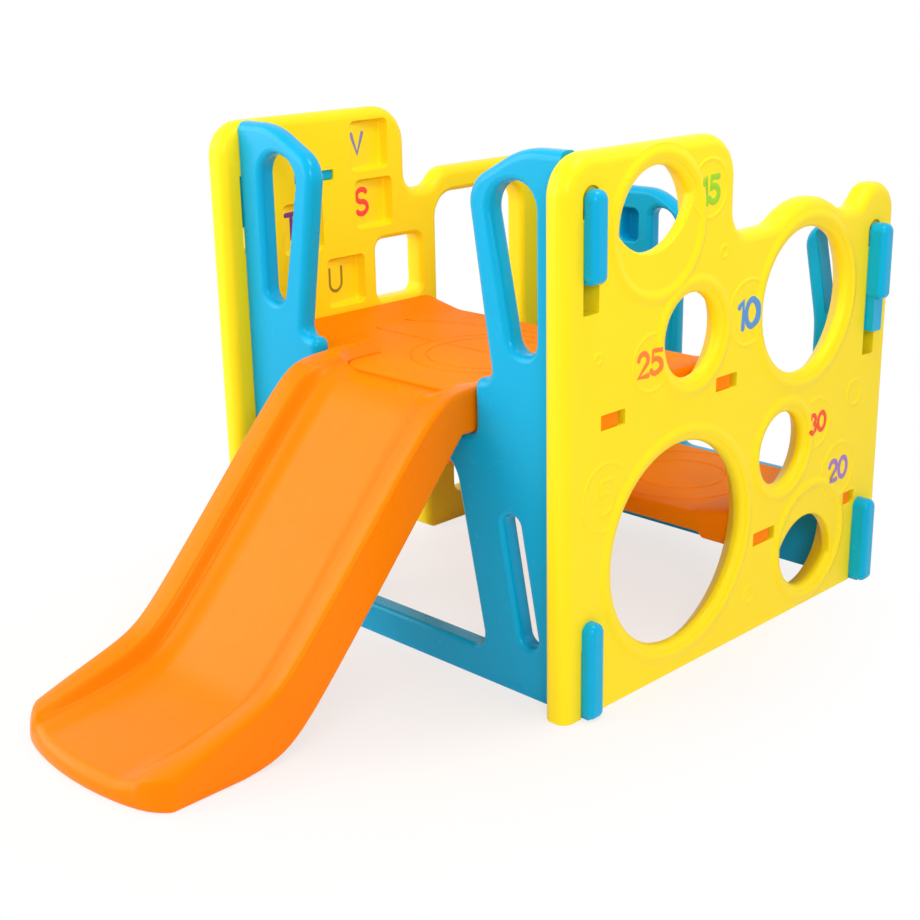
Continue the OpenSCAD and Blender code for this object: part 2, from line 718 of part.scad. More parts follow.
function rail_z(y) = blend_down(blend_up(exit_rail_h + exit_rail_slope*(y - exit_y - exit_round),
    slope_line(y) + channel_d, bend_k), rail_top, crest_k);
function channel_z(y) = blend_down(blend_up(exit_lip_h + exit_floor_slope*(y - exit_y), slope_line(y),
    floor_bend_k), deck_z, floor_crest_k);
function under_z(y) = min(cradle_z, max(0, blend_up(0, slope_line(y) + channel_d - chute_wall_h,
    under_bend_k) - under_flat));

// Height of the chute's top over a place across its width, given as a share of the half width
function top_z(y, s) =
    let (low = channel_z(y), high = max(rail_z(y), low),
        climb = pow(max(0, min(1, (s - channel_share)/(rail_shares[0] - channel_share))), wall_power),
        drop = max(0, (s - rail_shares[1])/(1 - rail_shares[1])),
        full = low + (high - low)*climb - rail_drop_h*(1 - sqrt(max(0, 1 - drop*drop))),
        out = max(0, min(1, (exit_y + exit_round - y)/exit_round)))
    under_z(y) + (full - under_z(y))*(exit_edge_share + (1 - exit_edge_share)*sqrt(max(0, 1 - out*out)));

// The exit is bowed in plan: the sides lie further back than the middle
function bowed_y(y, s) =
    let (w = max(0, min(1, (exit_y + exit_sag_len - y)/exit_sag_len)))
    y + w*w*(exit_sag*s*s + exit_corner*pow(s, exit_corner_power));

module chute_loft() {
    half = chute_columns_shares;
    n = len(half) - 1;
    across_s = concat([for (i = [n:-1:1]) -half[i]], half);
    last = 2*n;
    back = chute_seat - deck_gap;
    rows = concat([for (i = [0:lip_rows - 1]) exit_y + exit_round*(1 - cos(90*i/lip_rows))],
        [for (i = [0:chute_rows]) exit_y + exit_round + (back - exit_y - exit_round)*i/chute_rows]);
    rings = [for (y = rows) concat(
        [for (s = across_s) [s*chute_half_w, bowed_y(y, abs(s)), top_z(y, abs(s))]],
        [for (i = [last:-1:0]) let (s = across_s[i]) [s*chute_half_w, bowed_y(y, abs(s)), under_z(y)]])];
    m = 2*last + 2;
    ends = len(rows) - 1;
    polyhedron(points = [for (g = rings) each g], faces = concat(
        [for (i = [0:last - 1]) [i, i + 1, m - 2 - i]],
        [for (i = [0:last - 1]) [i, m - 2 - i, m - 1 - i]],
        [for (i = [0:last - 1]) [ends*m + i + 1, ends*m + i, ends*m + m - 2 - i]],
        [for (i = [0:last - 1]) [ends*m + m - 2 - i, ends*m + i, ends*m + m - 1 - i]],
        [for (j = [0:ends - 1], i = [0:m - 1]) [j*m + i, j*m + m + i, j*m + m + (i + 1)%m]],
        [for (j = [0:ends - 1], i = [0:m - 1]) [j*m + i, j*m + m + (i + 1)%m, j*m + (i + 1)%m]]));
}

module chute() {
    hook_y = frame_t + fit;
    color(deck_orange) translate([0, datum_y, 0]) {
        difference() {
            chute_loft();
            translate([0, 0, deck_z - tongue_t - fit]) linear_extrude(2*rail_rise) {
                tongue_plan(tongue_half_w + fit, tongue_front - fit);
                translate([-tongue_half_w - fit, chute_seat - overrun])
                    square([2*(tongue_half_w + fit), 2*overrun]);
            }
        }
        translate([-chute_half_w/2, hook_y, cradle_z - chute_hook_drop])
            cube([chute_half_w, chute_hook_t, chute_hook_drop + tongue_t]);
    }
}

number_panel();
letter_panel();
front_frame();
rear_frame();
upper_deck();
lower_deck();
chute();
hanger_bar();
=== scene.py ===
import math

import bmesh
import bpy
from mathutils import Matrix, Vector


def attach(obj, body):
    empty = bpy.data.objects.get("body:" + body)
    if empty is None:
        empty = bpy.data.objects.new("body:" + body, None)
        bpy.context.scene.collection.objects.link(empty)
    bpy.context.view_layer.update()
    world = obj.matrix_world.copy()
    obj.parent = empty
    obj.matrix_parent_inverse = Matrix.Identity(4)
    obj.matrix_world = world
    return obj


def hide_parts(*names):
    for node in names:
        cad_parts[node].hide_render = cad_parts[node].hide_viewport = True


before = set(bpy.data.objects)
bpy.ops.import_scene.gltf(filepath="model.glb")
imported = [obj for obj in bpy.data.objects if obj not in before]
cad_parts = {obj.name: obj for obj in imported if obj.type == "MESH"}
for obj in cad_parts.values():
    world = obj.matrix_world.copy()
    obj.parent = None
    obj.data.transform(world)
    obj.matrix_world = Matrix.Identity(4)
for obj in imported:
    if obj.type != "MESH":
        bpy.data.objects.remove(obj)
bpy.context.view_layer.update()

# Front frame: one blow-moulded blue polyethylene panel with two handle loops, a cradle for the chute,
# an arch and a slit in each leg. Four hooks are moulded on its ends and reach through the side panels.
# Sizes are in millimetres, and every cutter overruns the faces that it cuts.
mm = 0.001
frame_face = -107.5
frame_depth = 40
frame_half = 397.1
frame_edge = 16
gym_height = 931
panel_gap = 397.5
panel_depth = 50
clearance = 0.4
overrun = 6
skim = 0.3


def rounded(corners, inset=0.0, steps=None):
    """Points of an outline with round corners (along, up, radius), drawn in by inset."""
    count = len(corners)
    usable = 0.96
    step_angle = math.radians(6)
    spots = [Vector(c[:2]) for c in corners]
    ways = [(spots[(i + 1) % count] - spots[i]).normalized() for i in range(count)]
    runs = [(spots[(i + 1) % count] - spots[i]).length for i in range(count)]
    turns = [math.atan2(ways[i - 1].cross(ways[i]), ways[i - 1].dot(ways[i])) for i in range(count)]
    reach = [corners[i][2]*math.tan(abs(turns[i])/2) for i in range(count)]
    points = []
    for i, corner in enumerate(corners):
        if corner[2] == 0:
            points.append(spots[i] + inset*Vector(corner[3]))
            continue
        after = (i + 1) % count
        room_before = usable*runs[i - 1]/(reach[i] + reach[i - 1])
        room_after = usable*runs[i]/(reach[i] + reach[after])
        ease = min(1, room_before, room_after)
        radius = ease*corner[2]
        side = math.copysign(1, turns[i])
        normal = side*Vector((-ways[i - 1].y, ways[i - 1].x))
        centre = spots[i] - ways[i - 1]*ease*reach[i] + normal*radius
        start = math.atan2(-normal.y, -normal.x)
        arc_steps = steps or max(4, math.ceil(abs(turns[i])/step_angle))
        for k in range(arc_steps + 1):
            angle = start + turns[i]*k/arc_steps
            points.append(centre + (radius - side*inset)*Vector((math.cos(angle), math.sin(angle))))
    return points


def box_corners(left, right, foot, top, radius):
    """Corners of a box with one radius all round."""
    return [(left, foot, radius), (right, foot, radius), (right, top, radius), (left, top, radius)]


def mirrored(corners):
    """The same corners on the other side of the middle."""
    return [(-c[0],) + tuple(c[1:]) for c in reversed(corners)]


def across(face):
    """Stands an outline in (x, z) on its edge, with its depth towards the rear."""
    return lambda u, v, w: Vector((u, face + w, v))*mm


def upright(face, side):
    """Stands an outline in (y, z) on its edge, with its depth away from the middle."""
    return lambda u, v, w: Vector((side*(face + w), frame_face + u, v))*mm


def loft(name, rings):
    """A closed skin: a filled ring that is extruded from ring to ring."""
    bpy.ops.object.select_all(action="DESELECT")
    bpy.ops.mesh.primitive_circle_add(vertices=len(rings[0]), radius=0.1, fill_type="NGON")
    piece = bpy.context.active_object
    piece.name = name
    piece.data.name = name
    bpy.ops.object.mode_set(mode="EDIT")
    bpy.ops.mesh.select_all(action="SELECT")
    mesh = bmesh.from_edit_mesh(piece.data)
    for vert, point in zip(mesh.verts, rings[0]):
        vert.co = point
    for last, ring in zip(rings, rings[1:]):
        follow = {tuple(Vector(a)): b for a, b in zip(last, ring)}
        bpy.ops.mesh.extrude_region_move()
        mesh = bmesh.from_edit_mesh(piece.data)
        for vert in mesh.verts:
            if vert.select:
                vert.co = follow[tuple(vert.co)]
    bmesh.update_edit_mesh(piece.data)
    bpy.ops.mesh.select_all(action="SELECT")
    bpy.ops.mesh.remove_doubles(threshold=1e-6)
    bpy.ops.mesh.normals_make_consistent(inside=False)
    bpy.ops.object.mode_set(mode="OBJECT")
    return piece


def quarter(radius, steps=6):
    """Inset and depth along a quarter-round moulded edge."""
    turns = [math.pi/2*k/steps for k in range(steps + 1)]
    return [(radius*(1 - math.sin(t)), radius*(1 - math.cos(t))) for t in turns]


def plate(name, corners, depth, edge, place):
    """A plate with quarter-round edges on both faces."""
    levels = quarter(edge)
    levels += [(inset, depth - level) for inset, level in reversed(levels)]
    return loft(name, [[place(p.x, p.y, level) for p in rounded(corners, inset)] for inset, level in levels])


def mouth(outline, depth, flare, place, dish=0, neck=18):
    """A cutter for a hole with flared mouths, or with a dished one on the face where the depth starts."""
    near = [(-flare, -overrun)] + [(-inset, level - skim) for inset, level in quarter(flare)]
    far = [(inset, depth - level) for inset, level in reversed(near)]
    if dish:
        waist = depth - neck
        near = [(-dish - 6, -overrun), (-dish - 4.5, -skim), (-dish - 1.2, 1), (1.5 - dish, 3.2)]
        near += [(-1, waist - 2), (0, waist + 2)]
    return loft("cutter", [[place(p.x, p.y, level) for p in outline(inset)] for inset, level in near + far])


def slot(corners, foot, top, place):
    """A cutter with straight walls between two depths."""
    return loft("cutter", [[place(p.x, p.y, level) for p in rounded(corners)] for level in (foot, top)])


def join(pieces):
    """Makes one object of several, under the first one's name."""
    bpy.ops.object.select_all(action="DESELECT")
    for piece in pieces:
        piece.select_set(True)
    bpy.context.view_layer.objects.active = pieces[0]
    bpy.ops.object.join()
    return pieces[0]


def carve(piece, tools, how="DIFFERENCE"):
    """Cuts tools out of a piece, or adds or keeps what they share, and removes them."""
    tool = join(tools)
    bpy.ops.object.select_all(action="DESELECT")
    piece.select_set(True)
    bpy.context.view_layer.objects.active = piece
    cut = piece.modifiers.new("Cut", "BOOLEAN")
    cut.operation = how
    cut.solver = "EXACT"
    cut.object = tool
    bpy.ops.object.modifier_apply(modifier=cut.name)
    bpy.data.objects.remove(tool)
    return piece


def soften(piece, angle=40):
    """Smooth shading that keeps the flat faces flat."""
    bpy.ops.object.select_all(action="DESELECT")
    piece.select_set(True)
    bpy.context.view_layer.objects.active = piece
    bpy.ops.object.shade_smooth_by_angle(angle=math.radians(angle))
    even = piece.modifiers.new("Even", "WEIGHTED_NORMAL")
    even.keep_sharp = True
    bpy.ops.object.modifier_apply(modifier=even.name)


def hook(name, side, y, neck, head, proud):
    """A neck through the side panel with a soft pill-shaped head over the panel's face."""
    place = upright(panel_gap, side)
    head_half = 18.5
    head_edge = 12
    neck_half = 15.5
    neck_root = -5
    seat = panel_depth + clearance
    levels = [(0, seat)] + [(inset, seat + proud - level) for inset, level in reversed(quarter(head_edge))]
    corners = [(y - head_half, head[0], 13), (y + head_half, head[0], 13),
               (y + head_half, head[1], 18), (y - head_half, head[1], 18)]
    cap = loft(name, [[place(p.x, p.y, level) for p in rounded(corners, inset)] for inset, level in levels])
    stem = box_corners(y - neck_half, y + neck_half, neck[0], neck[1], 3)
    return [cap, slot(stem, neck_root, seat + proud/2, place)]


def skin_group():
    """Shared look of the blow-moulded skin: mottled colour, scuffs and a fine grain."""
    group = bpy.data.node_groups.new("moulded_skin", "ShaderNodeTree")
    face = group.interface
    face.new_socket("Colour", in_out="INPUT", socket_type="NodeSocketColor")
    face.new_socket("Deep colour", in_out="INPUT", socket_type="NodeSocketColor")
    face.new_socket("Roughness", in_out="INPUT", socket_type="NodeSocketFloat")
    face.new_socket("Grain", in_out="INPUT", socket_type="NodeSocketFloat")
    face.new_socket("Colour", in_out="OUTPUT", socket_type="NodeSocketColor")
    face.new_socket("Roughness", in_out="OUTPUT", socket_type="NodeSocketFloat")
    face.new_socket("Height", in_out="OUTPUT", socket_type="NodeSocketFloat")
    nodes = group.nodes
    link = group.links.new
    given = nodes.new("NodeGroupInput")
    out = nodes.new("NodeGroupOutput")
    place = nodes.new("ShaderNodeTexCoord")
    mottle = nodes.new("ShaderNodeTexNoise")
    mottle.inputs["Scale"].default_value = 5
    mottle.inputs["Detail"].default_value = 3
    grain = nodes.new("ShaderNodeTexNoise")
    grain.inputs["Detail"].default_value = 2
    scuff = nodes.new("ShaderNodeTexNoise")
    scuff.inputs["Scale"].default_value = 38
    scuff.inputs["Detail"].default_value = 8
    scuff.inputs["Distortion"].default_value = 0.8
    for texture in (mottle, grain, scuff):
        link(place.outputs["Object"], texture.inputs["Vector"])
    link(given.outputs["Grain"], grain.inputs["Scale"])
    depth = nodes.new("ShaderNodeMapRange")
    depth.inputs["From Min"].default_value = 0.3
    depth.inputs["From Max"].default_value = 0.7
    depth.inputs["To Max"].default_value = 0.5
    link(mottle.outputs["Fac"], depth.inputs["Value"])
    tone = nodes.new("ShaderNodeMix")
    tone.data_type = "RGBA"
    link(depth.outputs["Result"], tone.inputs["Factor"])
    link(given.outputs["Colour"], tone.inputs["A"])
    link(given.outputs["Deep colour"], tone.inputs["B"])
    link(tone.outputs["Result"], out.inputs["Colour"])
    rub = nodes.new("ShaderNodeMapRange")
    rub.inputs["From Min"].default_value = 0.35
    rub.inputs["From Max"].default_value = 0.75
    rub.inputs["To Min"].default_value = -0.03
    rub.inputs["To Max"].default_value = 0.05
    link(scuff.outputs["Fac"], rub.inputs["Value"])
    gloss = nodes.new("ShaderNodeMath")
    link(given.outputs["Roughness"], gloss.inputs[0])
    link(rub.outputs["Result"], gloss.inputs[1])
    link(gloss.outputs["Value"], out.inputs["Roughness"])
    link(grain.outputs["Fac"], out.inputs["Height"])
    return group


moulded_skin = skin_group()


def linear(red, green, blue):
    """A colour given as the photograph shows it, for a shader socket."""
    parts = [c/255 for c in (red, green, blue)]
    return tuple(c/12.92 if c <= 0.04045 else ((c + 0.055)/1.055)**2.4 for c in parts) + (1,)


def plastic(name, colour, deep, roughness, shine, sheen, grain=420, bump=0.06):
    """Moulded polyethylene between two tones, with the strength and tint of its shine."""
    material = bpy.data.materials.new(name)
    material.use_nodes = True
    nodes = material.node_tree.nodes
    link = material.node_tree.links.new
    shader = nodes["Principled BSDF"]
    shader.inputs["Specular IOR Level"].default_value = shine
    shader.inputs["Specular Tint"].default_value = sheen + (1,)
    skin = nodes.new("ShaderNodeGroup")
    skin.node_tree = moulded_skin
    skin.inputs["Colour"].default_value = linear(*colour)
    skin.inputs["Deep colour"].default_value = linear(*deep)
    skin.inputs["Roughness"].default_value = roughness
    skin.inputs["Grain"].default_value = grain
    relief = nodes.new("ShaderNodeBump")
    relief.inputs["Strength"].default_value = bump
    relief.inputs["Distance"].default_value = 0.001
    link(skin.outputs["Colour"], shader.inputs["Base Color"])
    link(skin.outputs["Roughness"], shader.inputs["Roughness"])
    link(skin.outputs["Height"], relief.inputs["Height"])
    link(relief.outputs["Normal"], shader.inputs["Normal"])
    return material


blue = plastic("blue_polyethylene", (0, 174, 224), (0, 166, 215), roughness=0.24, shine=0.35,
               sheen=(0.4, 0.85, 1))

loop = [(frame_half, 0, 0, (0, 0)), (frame_half, gym_height, 0, (0, -1)), (310.1, gym_height, 158.3),
        (190.8, 867.7, 55.9), (242.9, 547, 22), (204, 547, 22), (204, 447, 14)]
front_edge = loop + mirrored(loop)
front_frame = plate("front_frame_moulding", front_edge, frame_depth, frame_edge, across(frame_face))
handle_hole = [(342.6, 891.9, 43.8), (237.3, 862.1, 43.8), (292.2, 600.5, 27.9), (342.6, 600.5, 24.2)]
front_arch = [(226.6, 58, 27.9), (153, 402, 60.5), (-153, 402, 60.5), (-226.6, 58, 27.9)]
leg_top = Vector((287.8, 299.8))
leg_foot = Vector((325.2, 109.9))
slit_half = 20
slit_round = 19
leg_way = (leg_foot - leg_top).normalized()*slit_half
leg_off = Vector((leg_way.y, -leg_way.x))
slit_corners = (leg_top - leg_way - leg_off, leg_top - leg_way + leg_off,
                leg_foot + leg_way + leg_off, leg_foot + leg_way - leg_off)
leg_slit = [tuple(corner) + (slit_round,) for corner in slit_corners]
front_cuts = []
for hole, flare in ((handle_hole, 14), (mirrored(handle_hole), 14), (front_arch, 9), (leg_slit, 11),
                    (mirrored(leg_slit), 11)):
    front_cuts.append(mouth(lambda inset, c=hole: rounded(c, inset), frame_depth, flare, across(frame_face)))
carve(front_frame, front_cuts)
front_hook_y = 16
front_hook_proud = 22
low_neck = (0, 124)
low_head = (0, 172)
front_hooks = []
for side in (1, -1):
    front_hooks += hook("front_hook", side, front_hook_y, (733, 830), (733, 878), front_hook_proud)
    front_hooks += hook("front_hook", side, front_hook_y, low_neck, low_head, front_hook_proud)
join([front_frame] + front_hooks)
soften(front_frame)
front_frame.data.materials.append(blue)
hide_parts("front_frame")
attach(front_frame, "frames")

# Rear frame: the same blue blow-moulding, an apron with the entry between two handles, a grip pocket
# near the letter panel and hooks with deeper heads than the front ones.
frame_spacing = 828
rear_face = frame_face + frame_spacing
rear_top = 741
entry = 161.5
tip = [(226.8, rear_top, 111.2), (135.7, 686.2, 44.5), (167, 518.7, 222), (168, 192, 40)]
gate = tip[1:] + mirrored(tip)
rear_edge = [(-frame_half, 0, 0, (0, 0)), (frame_half, 0, 0, (0, 0)), (frame_half, rear_top, 0, (0, -1)),
             (383.6, rear_top, 44.5)]
rear_edge += [(c[0] + entry, c[1], c[2]) for c in gate] + [(-frame_half, rear_top, 0, (0, -1))]
rear_frame = plate("rear_frame_moulding", rear_edge, frame_depth, frame_edge, across(rear_face))
loop_hole = [(-77.9, 532, 22), (-37.6, 532, 22), (-4.8, 701, 45), (-77.9, 701, 24)]
post_gap = [(360.6, 532, 9), (382.5, 532, 9), (382.5, 701, 9), (327.8, 701, 9)]
grip = box_corners(-159.2, -111.2, 624.5, 694.5, 14)
rear_cuts = []
for hole, flare in ((loop_hole, 14), (post_gap, 4)):
    rear_cuts.append(mouth(lambda inset, c=hole: rounded(c, inset), frame_depth, flare, across(rear_face)))
grip_flare = 7
grip_levels = [(-grip_flare, -overrun)] + [(-inset, level - skim) for inset, level in quarter(grip_flare)]
grip_levels += [(1, 34), (6, 36)]
rear_place = across(rear_face)
grip_rings = [[rear_place(p.x, p.y, level) for p in rounded(grip, inset)] for inset, level in grip_levels]
rear_cuts.append(loft("cutter", grip_rings))
carve(rear_frame, rear_cuts)
rear_hook_y = 844
rear_hook_proud = 33
rear_hooks = []
for side in (1, -1):
    rear_hooks += hook("rear_hook", side, rear_hook_y, (514, 674), (577, 722), rear_hook_proud)
    rear_hooks += hook("rear_hook", side, rear_hook_y, low_neck, low_head, rear_hook_proud)
join([rear_frame] + rear_hooks)
soften(rear_frame)
rear_frame.data.materials.append(blue)
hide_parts("rear_frame")
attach(rear_frame, "frames")

# Number panel: a yellow blow-moulded wall 50 mm thick with crawl and peep holes. Soft rings run round
# the holes and the number discs, and slots take the hooks of the frames and the tabs of the decks.
yellow = plastic("yellow_polyethylene", (255, 229, 24), (255, 224, 16), roughness=0.38, shine=0.3,
                 sheen=(1, 0.92, 0.6))
panel_length = 959
panel_lead = 44
panel_edge = 20


def panel_outline(shares):
    """Corners over the feet of a side panel, given as shares of its length and height."""
    return [(panel_length*a - panel_lead, gym_height*b, gym_height*r) for a, b, r in shares]


def disc(centre, radius, count=96):
    """Outline of a round hole, as a function of how far it is drawn in."""
    turns = [math.tau*k/count for k in range(count)]
    return lambda inset: [Vector((centre[0] + (radius - inset)*math.cos(t),
                                  centre[1] + (radius - inset)*math.sin(t))) for t in turns]


def bead_rise(share, proud):
    """Height of a soft ring over the face, at a share of the way across it."""
    sink = 0.2
    return proud*(0.5 - 0.5*math.cos(math.tau*max(0, min(1, share)))) - sink


def ring_bead(centre, inner, outer, proud, place):
    """A soft raised ring on a panel's face, from its outer foot over the crown to its inner foot."""
    steps = 12
    rise = [(outer + (inner - outer)*k/steps, bead_rise(k/steps, proud)) for k in range(steps + 1)]
    levels = [(outer, -6)] + rise + [(inner, -3)]
    return loft("ring", [[place(p.x, p.y, panel_depth + level) for p in disc(centre, radius)(0)]
                         for radius, level in levels])


def through(corners, place):
    """A cutter with straight walls through a side panel."""
    return slot(corners, -overrun, panel_depth + overrun, place)


upper_tabs = ((42, 504, 45), (349, 504, 45))
lower_tabs = ((481, 181, 52), (787, 181, 24))
tab_half = 12.5
slide_room = 15


def panel_slots(place):
    """Slots for the hooks and tabs, with a shallow seat behind each upper hook's round top."""
    slot_half = 18.9
    cuts = []
    for y, foot, top in ((front_hook_y, 684.6, 830.4), (rear_hook_y, 465.6, 674.4),
                         (front_hook_y, -20, 124.4), (rear_hook_y, -20, 124.4)):
        cuts.append(through(box_corners(y - slot_half, y + slot_half, foot, top, 2), place))
    half = tab_half + clearance
    for y, z, run in upper_tabs + lower_tabs:
        end = y + run + slide_room + clearance
        cuts.append(through(box_corners(y - clearance, end, z - half, z + half, 2), place))
    seat_half = 21
    seat_floor = 42
    for y, top in ((front_hook_y, 883), (rear_hook_y, 727)):
        seat = [(y - seat_half, top - 50, 2), (y + seat_half, top - 50, 2),
                (y + seat_half, top, 20), (y - seat_half, top, 20)]
        cuts.append(slot(seat, seat_floor, panel_depth + overrun, place))
    return cuts


number_place = upright(panel_gap, 1)
panel_front = (-panel_lead, 0, 0, (1, 0))
panel_rear = (panel_length - panel_lead, 0, 0, (-1, 0))
number_edge = [panel_front, panel_rear]
number_edge += panel_outline([(1, 0.854, 0.064), (0.91, 0.854, 0.043), (0.868, 0.813, 0.032),
                              (0.816, 0.813, 0.064), (0.6945, 0.877, 0.199), (0.586, 0.813, 0.107),
                              (0.4546, 0.813, 0.048), (0.4546, 1, 0.081), (0, 1, 0.07)])
number_panel = plate("number_panel_moulding", number_edge, panel_depth, panel_edge, number_place)
round_holes = [((259, 238), 182), ((622, 607), 134), ((282.1, 603), 72.5), ((566.9, 337), 69)]
lens_holes = [((183, 800), 95, (-18.1, 65.9), 106.4), ((670, 130), 92, (-15.1, -42.3), 94.8)]
discs = [((314, 845), 50), ((438, 617), 60), ((169, 579), 50), ((672, 364), 50), ((760, 250), 58),
         ((57, 377), 60), ((33, 611), 10), ((360, 735), 12), ((803, 397), 26), ((473, 77), 18)]
ringed_holes = round_holes + [lens[:2] for lens in lens_holes]
rings = [(centre, radius + 6, radius + 36, 4) for centre, radius in ringed_holes]
rings += [(centre, radius - 8, radius + 4, 2) for centre, radius in discs]
for centre, inner, outer, proud in rings:
    carve(number_panel, [ring_bead(centre, inner, outer, proud, number_place)], "UNION")
hole_flare = 12
lid_flare = 6
number_cuts = panel_slots(number_place)
for centre, radius in round_holes:
    number_cuts.append(mouth(disc(centre, radius), panel_depth, hole_flare, number_place, dish=28))
for centre, radius, off, lid in lens_holes:
    lens = mouth(disc(centre, radius), panel_depth, hole_flare, number_place, dish=15)
    lid_centre = (centre[0] + off[0], centre[1] + off[1])
    cover = mouth(disc(lid_centre, lid), panel_depth, lid_flare, number_place, dish=40)
    number_cuts.append(carve(lens, [cover], "INTERSECT"))
carve(number_panel, number_cuts)
soften(number_panel)
number_panel.data.materials.append(yellow)
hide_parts("number_panel")
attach(number_panel, "walls")

# Numbers: paint in a thin raised film on the moulding's discs, one colour for each number.
# The strokes are one width all along, with round ends, and the five is moulded without paint.


def arc(centre, wide, high, start, end, count=18):
    """Points along a part of an ellipse, between two angles in degrees."""
    turns = [math.radians(start + (end - start)*k/count) for k in range(count + 1)]
    return [(centre[0] + wide*math.cos(t), centre[1] + high*math.sin(t)) for t in turns]


strokes = {
    "0": [arc((0.35, 0.5), 0.35, 0.5, 0, 360, 40)],
    "1": [[(0.0, 0.82), (0.24, 1.0), (0.24, 0.0)]],
    "2": [arc((0.31, 0.7), 0.31, 0.3, 170, -38) + [(0.0, 0.0), (0.64, 0.0)]],
    "3": [arc((0.29, 0.75), 0.27, 0.25, 150, -85) + arc((0.29, 0.26), 0.33, 0.26, 85, -150)],
    "5": [[(0.58, 1.0), (0.13, 1.0), (0.07, 0.56)] + arc((0.29, 0.32), 0.33, 0.32, 125, -150)],
    "S": [arc((0.35, 0.75), 0.33, 0.25, 35, 270) + arc((0.35, 0.25), 0.35, 0.25, 90, -145)],
    "T": [[(-0.02, 1.0), (0.66, 1.0)], [(0.32, 1.0), (0.32, 0.0)]],
    "U": [[(0.0, 1.0)] + arc((0.39, 0.36), 0.39, 0.36, 180, 360) + [(0.78, 1.0)]],
    "V": [[(0.0, 1.0), (0.43, 0.0), (0.86, 1.0)]],
}
advance = {"0": 0.7, "1": 0.24, "2": 0.64, "3": 0.62, "5": 0.62, "S": 0.7, "T": 0.64, "U": 0.78, "V": 0.86}


def sign(name, word, centre, high, pen, seat, film=0.9):
    """Painted signs: round-ended strokes laid on seat(y, z), which gives the surface's point and normal."""
    gap = 0.2
    total = sum(advance[c] for c in word) + gap*(len(word) - 1)
    start = -total/2
    pieces = []
    for letter in word:
        for path in strokes[letter]:
            bpy.ops.object.select_all(action="DESELECT")
            bpy.ops.curve.primitive_nurbs_path_add()
            line = bpy.context.active_object
            line.data.splines.clear()
            spline = line.data.splines.new("POLY")
            spots = [Vector(((start + x)*high, (y - 0.5)*high)) for x, y in path]
            first = (spots[0] - spots[1]).normalized()
            last = (spots[-1] - spots[-2]).normalized()
            ends = [(math.sin(t), math.cos(t)) for t in (math.pi/2, 1.2, 0.8, 0.4)]
            dots = [(spots[0] + first*pen/2*s, c) for s, c in ends] + [(p, 1.0) for p in spots]
            dots += [(spots[-1] + last*pen/2*s, c) for s, c in reversed(ends)]
            spline.points.add(len(dots) - 1)
            for point, (spot, wide) in zip(spline.points, dots):
                point.co = (spot.x, spot.y, 0, 1)
                point.radius = max(wide, 0.02)
            line.data.dimensions = "3D"
            line.data.bevel_depth = pen/2
            line.data.bevel_resolution = 3
            line.data.use_fill_caps = True
            bpy.ops.object.convert(target="MESH")
            pieces.append(bpy.context.active_object)
        start += advance[letter] + gap
    piece = join(pieces)
    piece.name = name
    piece.data.name = name
    piece.matrix_world = Matrix.Identity(4)
    for vert in piece.data.vertices:
        point, normal = seat(centre[0] + vert.co.x, centre[1] + vert.co.y)
        vert.co = (point + normal*vert.co.z*2*film/pen)*mm
    bpy.ops.object.mode_set(mode="EDIT")
    bpy.ops.mesh.select_all(action="SELECT")
    bpy.ops.mesh.remove_doubles(threshold=1e-6)
    bpy.ops.mesh.normals_make_consistent(inside=False)
    bpy.ops.object.mode_set(mode="OBJECT")
    bpy.ops.object.shade_smooth_by_angle(angle=math.radians(50))
    return piece


def number_seat(y, z):
    """The panel's face, with the rings that a sign runs over."""
    rise = 0
    for centre, inner, outer, proud in rings:
        share = (outer - math.hypot(y - centre[0], z - centre[1]))/(outer - inner)
        rise = max(rise, bead_rise(share, proud))
    return Vector((panel_gap + panel_depth + rise, frame_face + y, z)), Vector((1, 0, 0))


def paint(word, colour):
    """A smooth film of paint, a little deeper in places."""
    shade = tuple(0.94*c for c in colour)
    return plastic("paint_" + word, colour, shade, roughness=0.42, shine=0.25, sheen=(1, 1, 1),
                   grain=700, bump=0.03)


number_paints = [("15", (316, 842), 52, 11.5, (158, 212, 30)), ("10", (437, 615), 59, 12, (92, 150, 214)),
                 ("25", (163, 579), 48, 9.5, (255, 134, 48)), ("30", (679, 363.5), 44, 9.5, (250, 84, 44)),
                 ("20", (762, 251), 50, 10.5, (166, 124, 196))]
for word, centre, high, pen, colour in number_paints:
    number = sign("number_" + word, word, centre, high - pen, pen, number_seat)
    number.data.materials.append(paint(word, colour))
    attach(number, "walls")
five = sign("number_5_moulded", "5", (55, 377), 58, 9, number_seat, film=1.6)
five.data.materials.append(yellow)
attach(five, "walls")

# Letter panel: the second yellow wall, with a doorway, a crawl arch at the floor, a window and four
# wedge-shaped pockets on its inner face that the letters are painted in.
letter_place = upright(panel_gap, -1)
letter_edge = [panel_front, (70, 0, 0, (-1, 0)), (70, 415, 89.5), (459, 415, 89.5), (459, 0, 0, (1, 0)),
               panel_rear]
letter_edge += panel_outline([(1, 0.851, 0.064), (0.5985, 0.851, 0.054), (0.561, 0.813, 0.043),
                              (0.489, 0.813, 0.038), (0.489, 1, 0.081), (0, 1, 0.07)])
letter_panel = plate("letter_panel_moulding", letter_edge, panel_depth, panel_edge, letter_place)
pockets = [(323.3, 858.4), (331.9, 742), (250.4, 593), (144.9, 714.1)]
pocket_half = 48


def pocket_floor(y, centre):
    """Depth of a pocket's floor, which slopes down towards the rear."""
    shallow = 5.5
    fall = 16
    return shallow + fall*max(0, min(1, (y - centre + pocket_half)/(2*pocket_half)))


